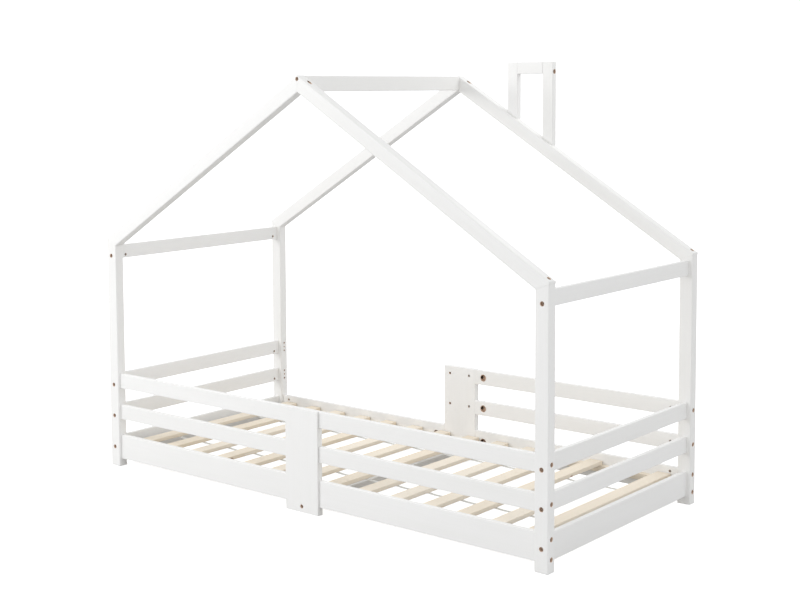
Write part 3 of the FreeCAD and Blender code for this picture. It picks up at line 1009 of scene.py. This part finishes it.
@dataclass(frozen=True)
class SocketBolt:
    """A turned bolt or screw with a six-sided key recess in its head."""

    head_radius: float
    head_height: float
    shank_radius: float
    length: float
    edge: float = 0.8 * MM
    step: float = 0.01 * MM
    tip: float = 1.0 * MM
    tip_share: float = 0.6
    key_radius: float = 2.9 * MM
    key_share: float = 0.55
    key_depth_share: float = 0.6
    sides: int = 24

    def add(self, shape: Shape, top: Vector, direction: Vector) -> None:
        """Adds it to a mesh.

        Args:
            shape: the mesh that it goes into.
            top: middle of the head's top.
            direction: from the head to the tip.
        """
        soft = min(self.edge, self.head_height / 3)
        key_radius = min(self.key_radius, self.head_radius * self.key_share)
        rings = [
            (0.0, self.head_radius - soft),
            (soft * 0.3, self.head_radius - soft * 0.3),
            (soft, self.head_radius),
            (self.head_height, self.head_radius),
            (self.head_height + self.step, self.shank_radius),
            (self.length - self.tip, self.shank_radius),
            (self.length, self.shank_radius * self.tip_share),
        ]
        rim = turned(shape, top, direction, rings, self.sides)
        cap = next(face for face in rim[0].link_faces if all(vert in face.verts for vert in rim))
        shape.faces.remove(cap)
        turn = direction.to_track_quat("Z", "Y").to_matrix()
        steps = self.sides // 6
        mouth, floor = [], []
        for corner in range(6):
            angle = math.pi * corner / 3
            offset = Vector((key_radius * math.cos(angle), key_radius * math.sin(angle), 0.0))
            mouth.append(shape.verts.new(top + turn @ offset))
            sunk = offset + Vector((0.0, 0.0, self.head_height * self.key_depth_share))
            floor.append(shape.verts.new(top + turn @ sunk))
        for corner in range(6):
            after = (corner + 1) % 6
            arc = [rim[(corner * steps + step) % self.sides] for step in range(steps + 1)]
            shape.faces.new([*reversed(arc), mouth[corner], mouth[after]])
            shape.faces.new((mouth[corner], floor[corner], floor[after], mouth[after]))
        shape.faces.new(floor)


@dataclass
class SlatDeck(SubAssembly):
    """The ledgers, the slats that lie on them, and the tapes that space the slats."""

    coat: Coat = Coat.BARE
    rounding: float = 1.8 * MM
    slat_count: int = 14
    screw: SocketBolt = SocketBolt(4.0 * MM, 2.4 * MM, 2.0 * MM, 6.0 * MM)
    screw_hole: Drill = Drill(8.4 * MM, 4.0 * MM, 0.4 * MM)
    screw_sunk: float = 1.2 * MM
    screw_count: int = 6
    screw_spacing: float = 310.0 * MM
    tape_thickness: float = 0.8 * MM
    tape_sag: float = 2.2 * MM
    tape_steps: int = 6
    tape_bend: float = 40.0
    staple_wire: float = 0.6 * MM
    staple_tip: float = 0.3 * MM
    staple_tip_share: float = 0.7
    staple_width: float = 10.0 * MM
    staple_sides: int = 10

    def build(self) -> None:
        """Makes everything that is not painted."""
        slats = [f"slat_{number:02d}" for number in range(1, self.slat_count + 1)]
        for name in slats:
            self.board(name, Grain.CROSSWAYS)
        screws, staples = bmesh.new(), bmesh.new()
        for face in FACES:
            self.ledger(f"{face}_slat_ledger", screws)
        self.fittings("ledger_screws", screws, None, self.finishes.nut)
        for face in FACES:
            self.tape(f"{face}_slat_tape", slats, staples)
        self.fittings("tape_staples", staples, None, self.finishes.nut)

    def ledger(self, name: str, screws: Shape) -> None:
        """A ledger and the sunk screws that hold it to the rails.

        Args:
            name: its node.
            screws: the mesh that takes the screw heads.
        """
        low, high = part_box(name)
        inner = inner_outer(low.y, high.y)[0]
        outward = Vector((0.0, side_of(low.y), 0.0))
        height = (low.z + high.z) / 2
        bores = []
        for number in range(self.screw_count):
            step = number - (self.screw_count - 1) / 2
            mouth = (step * self.screw_spacing, inner, height)
            bores.append(Bore(self.screw_hole, mouth, outward))
            self.screw.add(screws, Vector(mouth) + outward * self.screw_sunk, outward)
        self.board(name, Grain.LENGTHWAYS, bores)

    def tape(self, name: str, slats: list[str], staples: Shape) -> None:
        """A tape under the slats, sagging a little between them, and its staples.

        Args:
            name: its node.
            slats: the slats' nodes, in order.
            staples: the mesh that takes the staples.
        """
        low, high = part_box(name)
        shape = bmesh.new()
        loops = []
        for x, top in self.tape_line(high.z, slats):
            under = top - self.tape_thickness
            corners = ((low.y, top), (high.y, top), (high.y, under), (low.y, under))
            loops.append([shape.verts.new((x, y, z)) for y, z in corners])
        for first, second in zip(loops, loops[1:]):
            for step in range(4):
                after = (step + 1) % 4
                shape.faces.new((first[step], first[after], second[after], second[step]))
        shape.faces.new(loops[0])
        shape.faces.new(list(reversed(loops[-1])))
        piece = new_piece(f"{name}_webbing", shape, [self.finishes.tape])
        smooth_faces(piece, self.tape_bend)
        self.keep(piece, "tape", name)
        wire, tip, width = self.staple_wire / 2, self.staple_tip, self.staple_width
        thin = wire * self.staple_tip_share
        rings = [(0.0, thin), (tip, wire), (width - tip, wire), (width, thin)]
        for slat in slats:
            slat_low, slat_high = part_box(slat)
            middle = (slat_low.x + slat_high.x) / 2
            start = Vector((middle, (low.y + high.y - width) / 2, high.z - self.tape_thickness))
            turned(staples, start, Vector((0.0, 1.0, 0.0)), rings, self.staple_sides)

    def tape_line(self, top: float, slats: list[str]) -> list[tuple[float, float]]:
        """Where the tape runs: flat under each slat and in a shallow curve from one to the next.

        Args:
            top: underside of the slats.
            slats: their nodes, in order.

        Returns:
            Place along the bed and height of each step.
        """
        line = []
        for slat, following in zip(slats, [*slats[1:], None]):
            low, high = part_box(slat)
            line += [(low.x, top), (high.x, top)]
            if following:
                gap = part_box(following)[0].x - high.x
                for step in range(1, self.tape_steps):
                    share = step / self.tape_steps
                    line.append((high.x + gap * share, top - self.tape_sag * 4.0 * share * (1.0 - share)))
        return line


@dataclass
class Fasteners(SubAssembly):
    """Bolts, nuts, screws and dowels, each where the frame has its plain one."""

    end_board: float = 990.0 * MM
    pockets_end: float = 200.0 * MM
    head_share: float = 0.8
    turned_share: float = 0.97
    weld: float = 0.001 * MM
    nut_radius: float = 5.0 * MM
    nut_length: float = 10.0 * MM
    nut_edge: float = 0.5 * MM
    nut_sides: int = 28
    nut_slot: float = 1.3 * MM
    nut_slot_depth: float = 1.2 * MM

    def build(self) -> None:
        """Makes the fasteners group by group and dresses the hidden dowels."""
        for node in ("long_bolts", "short_bolts", "frame_screws"):
            shape = bmesh.new()
            for points in self.solids(node):
                others = set(shape.faces)
                self.add_headed(shape, points)
                in_pocket = node == "short_bolts" and abs(points.mean(0)[0]) < self.pockets_end
                # Bolts in the pockets take the blackened steel, which is partly their own colour and partly
                # painted shade.
                for face in set(shape.faces) - others:
                    face.material_index = int(in_pocket)
            self.fittings(f"{node}_turned", shape, node, self.finishes.bolt, self.finishes.blackened_bolt_and_shade)
        self.add_nuts("barrel_nuts")
        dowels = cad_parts["dowels"]
        dowels.data.materials.clear()
        dowels.data.materials.append(self.finishes.beech)

    def solids(self, node: str) -> list[np.ndarray]:
        """The corners of each separate solid of a node.

        Args:
            node: its name.

        Returns:
            One array of points for each solid.
        """
        shape = bmesh.new()
        shape.from_mesh(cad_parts[node].data)
        bmesh.ops.remove_doubles(shape, verts=shape.verts, dist=self.weld)
        waiting = set(shape.verts)
        found = []
        for first in shape.verts:
            group, reached = [], [first] if first in waiting else []
            waiting.discard(first)
            while reached:
                vert = reached.pop()
                group.append(vert.co.copy())
                others = [edge.other_vert(vert) for edge in vert.link_edges]
                fresh = [other for other in others if other in waiting]
                waiting.difference_update(fresh)
                reached += fresh
            if group:
                found.append(np.array(group, float))
        shape.free()
        return found

    def add_headed(self, shape: Shape, points: np.ndarray) -> None:
        """Puts a turned bolt where a plain one is.

        Args:
            shape: the mesh that it goes into.
            points: the corners of the plain bolt.
        """
        centre = points.mean(0)
        axis = np.linalg.svd(points - centre)[2][0]
        along = (points - centre) @ axis
        radii = np.linalg.norm(points - centre - np.outer(along, axis), axis=1)
        widest = radii.max()
        in_head = radii > self.head_share * widest
        head = along[in_head]
        if head.mean() > 0:
            axis, along, head = -axis, -along, -head
        bolt = SocketBolt(
            widest * self.turned_share,
            head.max() - head.min(),
            radii[~in_head].min() * self.turned_share,
            along.max() - along.min(),
        )
        bolt.add(shape, Vector(centre + axis * along.min()), Vector(axis))

    def add_nuts(self, node: str) -> None:
        """Puts a slotted barrel nut in each nut hole.

        Args:
            node: the node of the plain nuts.
        """
        nut = self.slotted_nut()
        shape = bmesh.new()
        for points in self.solids(node):
            centre = Vector((points.min(0) + points.max(0)) / 2)
            outward = Vector((0.0, side_of(centre.y), 0.0))
            if abs(centre.x) > self.end_board:
                outward = Vector((side_of(centre.x), 0.0, 0.0))
            copy = nut.copy()
            turn = outward.to_track_quat("Z", "Y").to_matrix().to_4x4()
            copy.transform(Matrix.Translation(centre) @ turn)
            shape.from_mesh(copy)
            bpy.data.meshes.remove(copy)
        bpy.data.meshes.remove(nut)
        self.fittings(f"{node}_slotted", shape, node, self.finishes.nut)

    def slotted_nut(self) -> bpy.types.Mesh:
        """One barrel nut about its middle, its slot towards -Z.

        Returns:
            The mesh.
        """
        half, edge = self.nut_length / 2, self.nut_radius - self.nut_edge
        rings = [
            (-half, edge),
            (-half + self.nut_edge, self.nut_radius),
            (half - self.nut_edge, self.nut_radius),
            (half, edge),
        ]
        shape = bmesh.new()
        turned(shape, Vector((0.0, 0.0, 0.0)), Vector((0.0, 0.0, 1.0)), rings, self.nut_sides)
        nut = new_piece("nut", shape, [])
        blade = bmesh.new()
        size = Vector((3.0 * self.nut_radius, self.nut_slot, 2.0 * self.nut_slot_depth))
        place = Matrix.LocRotScale(Vector((0.0, 0.0, -half)), None, size)
        bmesh.ops.create_cube(blade, size=1.0, matrix=place)
        cut_out(nut, [new_piece("blade", blade, [])])
        mesh = nut.data.copy()
        bpy.data.meshes.remove(nut.data)
        return mesh


@dataclass(frozen=True)
class Lamp:
    """A round soft light that the camera doesn't see."""

    name: str
    place: Point
    power: float
    width: float

    def hang(self, target: Vector) -> None:
        """Hangs the lamp.

        Args:
            target: what it points at.
        """
        data = bpy.data.lights.new(self.name, "AREA")
        data.energy = self.power
        data.shape = "DISK"
        data.size = self.width
        light = bpy.data.objects.new(self.name, data)
        light.visible_camera = False
        light.location = self.place
        light.rotation_mode = "QUATERNION"
        light.rotation_quaternion = (target - light.location).to_track_quat("-Z", "Y")
        bpy.context.scene.collection.objects.link(light)


@dataclass
class Studio:
    """The pale floor, the soft lights and the camera of the photograph."""

    finishes: Finishes
    floor_radius: float = 60.0
    floor_sides: int = 96
    eye: Point = (3.343083, -4.040684, 1.501228)
    yaw: float = 39.059
    pitch: float = -4.631
    roll: float = -0.248
    lens: float = 63.373
    sensor: float = 36.0
    image_width: int = 800
    image_height: int = 600
    horizon_centre: float = 200.0
    room_white: Colour = (0.98, 0.99, 1.0, 1.0)
    wall_light: float = 1.27
    ceiling_loss: float = 0.5
    soft_box: Lamp = Lamp("soft_box", (-3.2, -3.6, 2.6), 66.5, 2.0)
    back_lamp: Lamp = Lamp("back_lamp", (0.6, 0.9, 2.1), 2.0, 0.4)
    middle: Point = (0.0, 0.0, 0.6)

    def build(self) -> None:
        """Sets the stage."""
        bpy.context.scene.view_settings.view_transform = "Standard"
        self.lay_floor()
        self.light_room()
        for lamp in (self.soft_box, self.back_lamp):
            lamp.hang(Vector(self.middle))
        self.place_camera()

    def lay_floor(self) -> None:
        """A wide round floor under the bed."""
        shape = bmesh.new()
        bmesh.ops.create_circle(shape, cap_ends=True, radius=self.floor_radius, segments=self.floor_sides)
        floor = new_piece("studio_floor", shape, [self.finishes.floor])
        if floor.data.polygons[0].normal.z < 0.0:
            floor.data.flip_normals()

    def light_room(self) -> None:
        """White surroundings, dimmer towards the ceiling."""
        sheet = NodeSheet(bpy.data.worlds.new("studio"))
        direction = sheet.node("TexCoord", output="Generated")
        height = sheet.node("SeparateXYZ", {}, {0: direction}, "Z")
        strength = self.wall_light - height * self.ceiling_loss
        room = sheet.node("Background", {}, {"Color": self.room_white, "Strength": strength})
        bpy.context.scene.world = sheet.finish(room, "OutputWorld")

    def place_camera(self) -> None:
        """Puts the camera where the photograph was taken."""
        place = Matrix.Translation(self.eye)
        for angle, axis in ((self.yaw, "Z"), (90.0 + self.pitch, "X"), (self.roll, "Z")):
            place = place @ Matrix.Rotation(math.radians(angle), 4, axis)
        data = bpy.data.cameras.new("photograph")
        data.lens = self.lens
        data.sensor_width = self.sensor
        data.shift_y = (self.horizon_centre - self.image_height / 2) / self.image_width
        camera = bpy.data.objects.new("photograph", data)
        camera.matrix_world = place
        bpy.context.scene.collection.objects.link(camera)
        bpy.context.scene.camera = camera


def main() -> None:
    """Builds the bed piece by piece, then the studio."""
    logging.basicConfig(level=logging.INFO, format="%(name)s: %(message)s")
    finishes = Finishes()
    for part in (GableFrames, CrossTies, EndPanels, LongSides, CentreUprights, Chimney, SlatDeck, Fasteners):
        assembly = part(finishes)
        assembly.build()
        for piece in assembly.pieces:
            log.info("%s: %s, %d faces", part.__name__, piece.name, len(piece.data.polygons))
    Studio(finishes).build()


if __name__ == "__main__":
    main()
